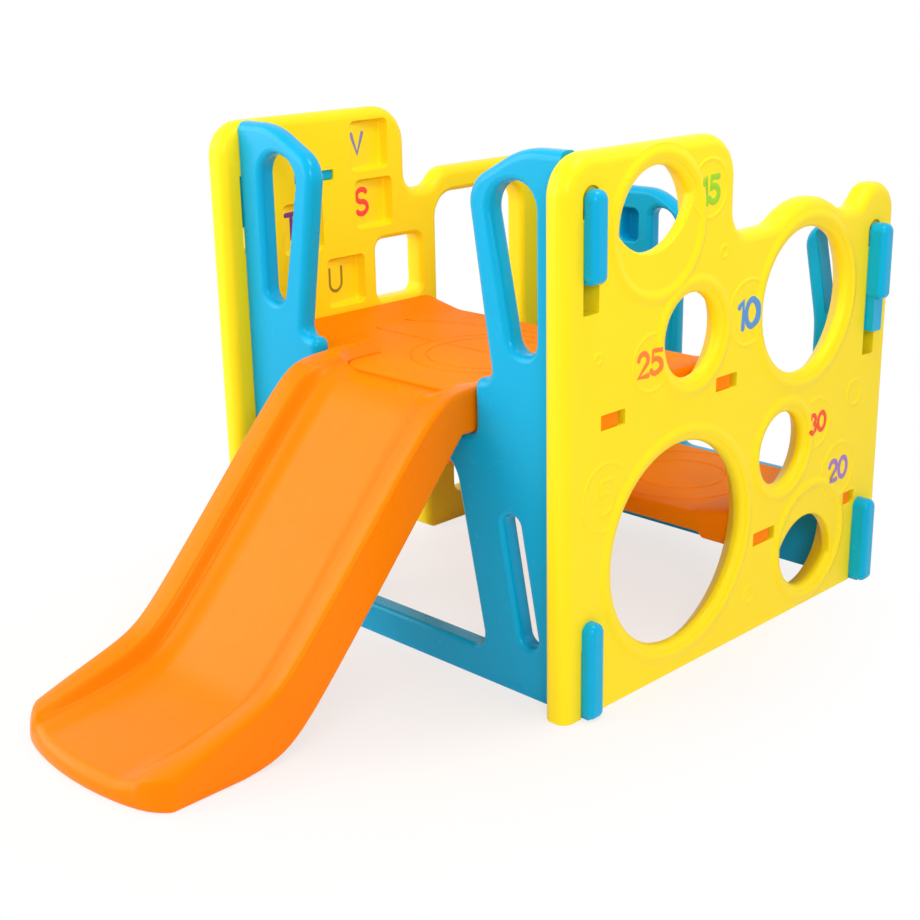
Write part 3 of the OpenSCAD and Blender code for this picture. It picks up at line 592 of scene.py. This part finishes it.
letter_cuts = panel_slots(letter_place)
doorway = box_corners(509, 774, 234, 739.2, 50.4)
window = box_corners(336.1, 460.1, 539, 663, 19.8)
low_hole = box_corners(546.7, 774, 60, 146, 26)
for hole, flare in ((doorway, 14), (window, 13), (low_hole, 6)):
    letter_cuts.append(mouth(lambda inset, c=hole: rounded(c, inset), panel_depth, flare, letter_place))
letter_cuts.append(through(box_corners(128, 227, 800, 820, 2), letter_place))
toe = [(453, -6, 1), (481, -6, 1), (481, 0, 0.2), (459, 0, 21), (459, 22, 0.2), (453, 22, 1)]
letter_cuts.append(through(toe, letter_place))
pocket_levels = [(-3, -0.05), (-1.6, 0.1), (-0.4, 0.3), (0.6, 0.6), (2, 0.85), (4, 0.96), (7, 1)]
for y, z in pockets:
    corners = box_corners(y - pocket_half, y + pocket_half, z - pocket_half, z + pocket_half, 10)
    pocket_rings = [[letter_place(p.x, p.y, -overrun) for p in rounded(corners, pocket_levels[0][0])]]
    for inset, share in pocket_levels:
        points = rounded(corners, inset)
        pocket_rings.append([letter_place(p.x, p.y, share*pocket_floor(p.x, y)) for p in points])
    letter_cuts.append(loft("cutter", pocket_rings))
carve(letter_panel, letter_cuts)
soften(letter_panel)
letter_panel.data.materials.append(yellow)
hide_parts("letter_panel")
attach(letter_panel, "walls")

# Letters: one painted letter on the sloping floor of each pocket, in strokes like those of the numbers.
# Each lies towards the front of its pocket.
floor_normal = Vector((0.97, 0.16, 0)).normalized()
letter_paints = [("V", (299, 862), 49, 10, (140, 140, 178), 0), ("S", (306, 746), 60, 11, (255, 74, 60), 1),
                 ("U", (229, 598), 53, 6.5, (150, 132, 30), 2), ("T", (122, 719), 57, 10, (120, 60, 140), 3)]
for word, centre, high, pen, colour, pocket in letter_paints:
    middle = pockets[pocket][0]
    letter = sign("letter_" + word, word, centre, high - pen, pen, lambda y, z, m=middle: (
        Vector((-panel_gap - pocket_floor(y, m), frame_face + y, z)), floor_normal))
    letter.data.materials.append(paint(word, colour))
    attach(letter, "walls")

# Hanger bar: a short blue bar pressed through the letter panel's slot, with a flange on the outer face.
# Its edges are rounded like those of the other mouldings.
flange_depth = 4
bar_start = 4
bar_depth = panel_depth + clearance - bar_start
bar = plate("hanger_bar_moulding", box_corners(128.4, 226.6, 800.4, 819.6, 4), bar_depth, 2.5,
            upright(panel_gap + bar_start, -1))
flange = plate("flange", box_corners(120, 235, 792, 828, 8), flange_depth, 1.8,
               upright(panel_gap + panel_depth + clearance, -1))
join([bar, flange])
soften(bar)
bar.data.materials.append(blue)
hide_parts("hanger_bar")
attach(bar, "walls")

# Upper deck: an orange moulding whose sides rise in a sloping lip against the panels. A tongue lies over the
# chute, lines are scored in the top against slipping, and tabs on both ends lie in the panels' slots.
orange_grained = plastic("grained_orange_polyethylene", (255, 138, 0), (255, 128, 0), roughness=0.55,
                         shine=0.12, sheen=(1, 0.7, 0.2), grain=260, bump=0.14)


def deck(name, top, front, rear, round_front, round_rear):
    """A deck lofted from front to rear, with a lip that dips at a rounded end."""
    edge = 7
    dip = 34
    low_lip = 9
    lip_rise = 17

    def section(inset, lip):
        foot = top - 38
        half = [(337.1, foot - 10, 8), (frame_half, foot - 10, 8), (frame_half, top + lip, 8),
                (307.1, top, 90)]
        left = [(-c[0], c[1], c[2]) for c in reversed(half)]
        return rounded([(327.1, foot, 12)] + half + left + [(-327.1, foot, 12)], inset, 6)

    def lip_at(y):
        ahead = max(0, 1 - (y - front)/dip) if round_front else 0
        behind = max(0, 1 - (rear - y)/dip) if round_rear else 0
        return low_lip + lip_rise*math.sqrt(max(0, 1 - max(ahead, behind)**2))

    stations = [(front + level, inset) for inset, level in quarter(edge)]
    stations += [(front + dip*k/10, 0) for k in range(3, 11)]
    stations += [(rear - dip*k/10, 0) for k in range(10, 2, -1)]
    stations += [(rear - level, inset) for inset, level in reversed(quarter(edge))]
    place = across(frame_face)
    return loft(name, [[place(p.x, p.y, y) for p in section(inset, lip_at(y))] for y, inset in stations])


def deck_tab(side, y, z, run):
    """A tab from inside the deck's end to just under the panel's outer face."""
    root = 8
    reach = 56
    corners = box_corners(y, y + run, z - tab_half, z + tab_half, 2.5)
    return plate("tab", corners, reach, 2, upright(panel_gap - root, side))


def flat(u, v, w):
    """Lays an outline in (x, y) at a height."""
    return Vector((u, frame_face + v, w))*mm


score_radius = 2.6
score_lift = 0.6


def groove(x, y, z, radius):
    """A cutter for a ring that is scored in a deck's top."""
    bpy.ops.object.select_all(action="DESELECT")
    bpy.ops.mesh.primitive_torus_add(location=flat(x, y, z + score_lift), major_radius=radius*mm,
                                     minor_radius=score_radius*mm, major_segments=120, minor_segments=16)
    bpy.ops.object.transform_apply(location=True, rotation=True, scale=True)
    return bpy.context.active_object


def score(path, z):
    """A cutter for a line that is scored in a deck's top."""
    turns = [math.tau*step/16 for step in range(16)]
    sections = []
    for k, spot in enumerate(path):
        run = path[min(k + 1, len(path) - 1)] - path[max(k - 1, 0)]
        side = Vector((-run.y, run.x)).normalized()*score_radius
        sections.append([flat(spot.x + side.x*math.cos(a), spot.y + side.y*math.cos(a),
                              z + score_lift + score_radius*math.sin(a)) for a in turns])
    return loft("score", sections)


upper_top = 508
upper_deck = deck("upper_deck_moulding", upper_top, 42, 485, False, True)
notch = box_corners(-203.6, 203.6, 30, 120, 1)
carve(upper_deck, [slot(notch, upper_top - 108, upper_top + 92, flat)])
tongue_edge = [(-156, 15, 45), (156, 15, 45), (156, 134, 6), (-156, 134, 6)]
tongue_levels = [(2, 496), (0, 498)] + [(inset, upper_top - depth) for inset, depth in reversed(quarter(3.5))]
tongue_rings = [[flat(p.x, p.y, z) for p in rounded(tongue_edge, inset)] for inset, z in tongue_levels]
carve(upper_deck, [loft("tongue", tongue_rings)], "UNION")
ring_middle = 249
ring_sizes = (116, 146)
arch_half = 360
arch_rise = 176
sweep = [math.radians(28 + 124*k/60) for k in range(61)]
arch = [Vector((arch_half*math.cos(a), ring_middle + arch_rise*math.sin(a))) for a in sweep]
spans = ((-312, -152), (-110, 110), (152, 312))
chords = [[Vector((start, ring_middle)), Vector((end, ring_middle))] for start, end in spans]
carve(upper_deck, [groove(0, ring_middle, upper_top, radius) for radius in ring_sizes])
carve(upper_deck, [score(path, upper_top) for path in [arch] + chords])
join([upper_deck] + [deck_tab(side, *tab) for side in (1, -1) for tab in upper_tabs])
soften(upper_deck)
upper_deck.data.materials.append(orange_grained)
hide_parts("upper_deck")
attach(upper_deck, "platform")

# Lower deck: the step behind the rear entry, moulded like the upper deck and rounded at its front end.
# Two rings are scored in its top, in line with the entry.
lower_top = 208
lower_deck = deck("lower_deck_moulding", lower_top, 470, 805, True, False)
carve(lower_deck, [groove(entry, 637.5, lower_top, radius) for radius in (90, 150)])
join([lower_deck] + [deck_tab(side, *tab) for side in (1, -1) for tab in lower_tabs])
soften(lower_deck)
lower_deck.data.materials.append(orange_grained)
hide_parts("lower_deck")
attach(lower_deck, "step")

# Chute: one long orange blow-moulding. Its rails have a flat top, a leaning inner band and a steep wall
# over a soft shelf. Its exit rolls over in a bowed lip, and its upper end lies in the front frame's
# cradle, hooked behind it, under the deck's tongue.
orange = plastic("orange_polyethylene", (255, 131, 0), (255, 124, 0), roughness=0.28, shine=0.2,
                 sheen=(1, 0.72, 0.25))
chute_half = 200
chute_start = 118
exit_end = -700
rim_round = 9
lip_foot = 9
lip_length = 24


def over(a, b, soft):
    """The higher of two values, with a soft passage between them."""
    return (a + b + math.hypot(a - b, soft))/2


def under(a, b, soft):
    """The lower of two values, with a soft passage between them."""
    return (a + b - math.hypot(a - b, soft))/2


def ease_in(t):
    """A smooth step from 0 to 1."""
    u = max(0, min(1, t))
    return u*u*(3 - 2*u)


def incline(y):
    """Height of the straight middle part's floor."""
    return math.tan(math.radians(48.5))*(y + 477)


rail_rise = 65
chute_depth = 129


def rail_height(y):
    exit_rail = 53 + 0.24*(y - exit_end - 18)
    return under(over(exit_rail, incline(y) + rail_rise, 36), 530, 40)


def floor_height(y):
    exit_floor = 30 + 0.06*(y - exit_end)
    return under(over(exit_floor, incline(y), 60), 503.5, 24)


def belly_height(y):
    return min(447, max(0, over(0, incline(y) + rail_rise - chute_depth, 58) - 7))


def rail_climb(x):
    """Share of the rail's height at a distance x from the middle: shelf, wall, leaning band and flat top."""
    band = under(max(0, (x - 154)/24), 1, 0.25)
    return 0.28*ease_in((x - 92)/44) + 0.6*ease_in((x - 135)/20) + 0.12*max(0, band)


def skin_height(x, y):
    """Height of the chute's skin, with a tight round along the rail's outer edge."""
    low = floor_height(y)
    high = max(low, rail_height(y))
    crown = max(0, (x - chute_half + rim_round)/rim_round)
    return low + (high - low)*rail_climb(x) - rim_round*(1 - math.sqrt(max(0, 1 - crown*crown)))


def bowed(x, y):
    """Draws the sides of the exit back from its middle."""
    share = x/chute_half
    bow_run = 300
    near = max(0, min(1, (exit_end + bow_run - y)/bow_run))
    return y + near*near*(34*share**2 + 26*share**10)


def roll(y, length):
    """How full the rolled exit lip still is, within a length of its end."""
    out = max(0, min(1, (exit_end + length - y)/length))
    return math.sqrt(1 - out*out)


half_columns = [0, 40, 80, 92] + [96 + 4*k for k in range(10)] + [135 + 2*k for k in range(11)]
half_columns += [159 + 4*k for k in range(7)] + [187, 191]
half_columns += [chute_half - rim_round + rim_round*math.sin(math.radians(15*k)) for k in range(1, 7)]
columns = [-x for x in reversed(half_columns[1:])] + half_columns
belly_half = [188, 182, 174, 164, 150, 130, 105, 75, 40]
belly_columns = belly_half + [0] + [-x for x in reversed(belly_half)]
row_count = 150
rows = [chute_start - (chute_start - exit_end)*k/row_count for k in range(row_count)]
rows = [y for y in rows if y > exit_end + lip_length]
rows += [exit_end + lip_length*(1 - math.sin(math.radians(9*k))) for k in range(11)]
chute_rings = []
for y in rows:
    belly = belly_height(y)
    middle = belly + lip_foot
    ring = []
    for x in columns:
        full = roll(y, lip_length - 8*rail_climb(abs(x)))
        top = middle + (skin_height(abs(x), y) - middle)*full
        ring.append(Vector((x, frame_face + bowed(abs(x), y), top))*mm)
    edge = min(8, 0.3*(ring[-1].z/mm - belly))
    foot = belly + lip_foot*(1 - roll(y, lip_foot))
    corner = [(edge*math.sin(math.radians(t)), edge*(1 - math.cos(math.radians(t)))) for t in (90, 60, 30, 0)]
    for out, up in corner:
        x = chute_half - edge + out
        ring.append(Vector((x, frame_face + bowed(x, y), foot + up*roll(y, lip_foot)))*mm)
    for x in belly_columns:
        ring.append(Vector((x, frame_face + bowed(abs(x), y), foot))*mm)
    for out, up in reversed(corner):
        x = chute_half - edge + out
        ring.append(Vector((-x, frame_face + bowed(x, y), foot + up*roll(y, lip_foot)))*mm)
    chute_rings.append(ring)
chute = loft("chute_moulding", chute_rings)
seat_edge = [(-157, 14, 45.5), (157, 14, 45.5), (157, 140, 6), (-157, 140, 6)]
seat_levels = [(0, 495.5), (0, 508.6), (-2, 510.5), (-20, 527), (-20, 560)]
seat_rings = [[flat(p.x, p.y, z) for p in rounded(seat_edge, inset)] for inset, z in seat_levels]
carve(chute, [loft("cutter", seat_rings)])
heel = plate("heel", box_corners(-100, 100, 427, 459, 4), 14, 3, across(frame_face + frame_depth + clearance))
join([chute, heel])
soften(chute, 50)
chute.data.materials.append(orange)
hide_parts("chute")
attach(chute, "frames")

# Floor and light: a pale studio sweep that turns to plain white away from the object, with a painted warm
# bounce light on it near the object, a soft sky and three soft boxes, beside the camera, to its left and
# overhead.


def seen_rays(nodes, link):
    """One for rays that come from the camera, straight or by way of a reflection or a clear piece."""
    rays = nodes.new("ShaderNodeLightPath")
    either = nodes.new("ShaderNodeMath")
    either.operation = "MAXIMUM"
    any_of = nodes.new("ShaderNodeMath")
    any_of.operation = "MAXIMUM"
    link(rays.outputs["Is Camera Ray"], either.inputs[0])
    link(rays.outputs["Is Glossy Ray"], either.inputs[1])
    link(either.outputs["Value"], any_of.inputs[0])
    link(rays.outputs["Is Transmission Ray"], any_of.inputs[1])
    return any_of.outputs["Value"]


bpy.ops.object.select_all(action="DESELECT")
bpy.ops.mesh.primitive_plane_add(size=60, location=(0, 0, -0.0008))
floor = bpy.context.active_object
floor.name = "studio_floor"
bpy.ops.object.transform_apply(location=True, rotation=True, scale=True)
paper = bpy.data.materials.new("studio_paper")
paper.use_nodes = True
nodes = paper.node_tree.nodes
link = paper.node_tree.links.new
shader = nodes["Principled BSDF"]
shader.inputs["Base Color"].default_value = (0.95, 0.87, 0.82, 1)
shader.inputs["Roughness"].default_value = 0.7
shader.inputs["Specular IOR Level"].default_value = 0.1
white = nodes.new("ShaderNodeEmission")
blend = nodes.new("ShaderNodeMixShader")
spot = nodes.new("ShaderNodeTexCoord")
wide = nodes.new("ShaderNodeVectorMath")
wide.operation = "MULTIPLY"
wide.inputs[1].default_value = (1.35, 1, 1)
away = nodes.new("ShaderNodeVectorMath")
away.operation = "LENGTH"
fade = nodes.new("ShaderNodeMapRange")
fade.interpolation_type = "SMOOTHSTEP"
fade.inputs["From Min"].default_value = 0.5
fade.inputs["From Max"].default_value = 1.1
fade.inputs["To Min"].default_value = 0.72
# Painted warm bounce light: near the object the floor's glow is tinted warm, as if lit by the orange plastic,
# and it turns white away from it.
painted_bounce = nodes.new("ShaderNodeMix")
painted_bounce.data_type = "RGBA"
painted_bounce.inputs["A"].default_value = (1, 0.92, 0.84, 1)
painted_bounce.inputs["B"].default_value = (1, 1, 1, 1)
link(fade.outputs["Result"], painted_bounce.inputs["Factor"])
link(painted_bounce.outputs["Result"], white.inputs["Color"])
whitened = nodes.new("ShaderNodeMath")
whitened.operation = "MULTIPLY"
link(spot.outputs["Object"], wide.inputs[0])
link(wide.outputs["Vector"], away.inputs[0])
link(away.outputs["Value"], fade.inputs["Value"])
link(seen_rays(nodes, link), whitened.inputs[0])
link(fade.outputs["Result"], whitened.inputs[1])
link(whitened.outputs["Value"], blend.inputs["Fac"])
link(shader.outputs["BSDF"], blend.inputs[1])
link(white.outputs["Emission"], blend.inputs[2])
link(blend.outputs["Shader"], nodes["Material Output"].inputs["Surface"])
floor.data.materials.append(paper)

sky = bpy.data.worlds.new("studio_sky")
bpy.context.scene.world = sky
sky.use_nodes = True
nodes = sky.node_tree.nodes
link = sky.node_tree.links.new
soft_sky = nodes["Background"]
soft_sky.inputs["Color"].default_value = (1, 1, 1, 1)
soft_sky.inputs["Strength"].default_value = 0.62
white_sky = nodes.new("ShaderNodeBackground")
white_sky.inputs["Color"].default_value = (1, 1, 1, 1)
blend = nodes.new("ShaderNodeMixShader")
link(seen_rays(nodes, link), blend.inputs["Fac"])
link(soft_sky.outputs["Background"], blend.inputs[1])
link(white_sky.outputs["Background"], blend.inputs[2])
link(blend.outputs["Shader"], nodes["World Output"].inputs["Surface"])

lamps = (("key_box", (3.3, -2.3, 2.2), 1.0, 46), ("fill_box", (-1.6, -1.9, 1.6), 2.2, 44),
         ("top_box", (0.8, 0.2, 2.4), 0.8, 16))
lamp_aim = Vector((0, 0.1, 0.4))
for name, place, size, power in lamps:
    bpy.ops.object.light_add(type="AREA", location=place)
    lamp = bpy.context.active_object
    lamp.name = name
    lamp.data.size = size
    lamp.data.energy = power
    lamp.rotation_euler = (lamp_aim - Vector(place)).to_track_quat("-Z", "Y").to_euler()

# Camera: at the photograph's standpoint, looking down on the object from its front right.
# The view transform leaves the colours as they are written.
standpoint = Vector((1.9445, -1.8649, 1.2054))
turn = math.radians(45.266)
tilt = math.radians(17.993)
lean = math.radians(-1.139)
back = Vector((math.sin(turn)*math.cos(tilt), -math.cos(turn)*math.cos(tilt), math.sin(tilt)))
right = Vector((math.cos(turn), math.sin(turn), 0))
up = back.cross(right)
right_rolled = math.cos(lean)*right + math.sin(lean)*up
up_rolled = math.cos(lean)*up - math.sin(lean)*right
view = bpy.data.cameras.new("photo_camera")
view.lens = 60.08
view.sensor_width = 36
camera = bpy.data.objects.new("photo_camera", view)
bpy.context.scene.collection.objects.link(camera)
facing = Matrix((right_rolled, up_rolled, back)).transposed().to_quaternion()
camera.matrix_world = Matrix.LocRotScale(standpoint, facing, None)
bpy.context.scene.camera = camera
bpy.context.scene.view_settings.view_transform = "Standard"
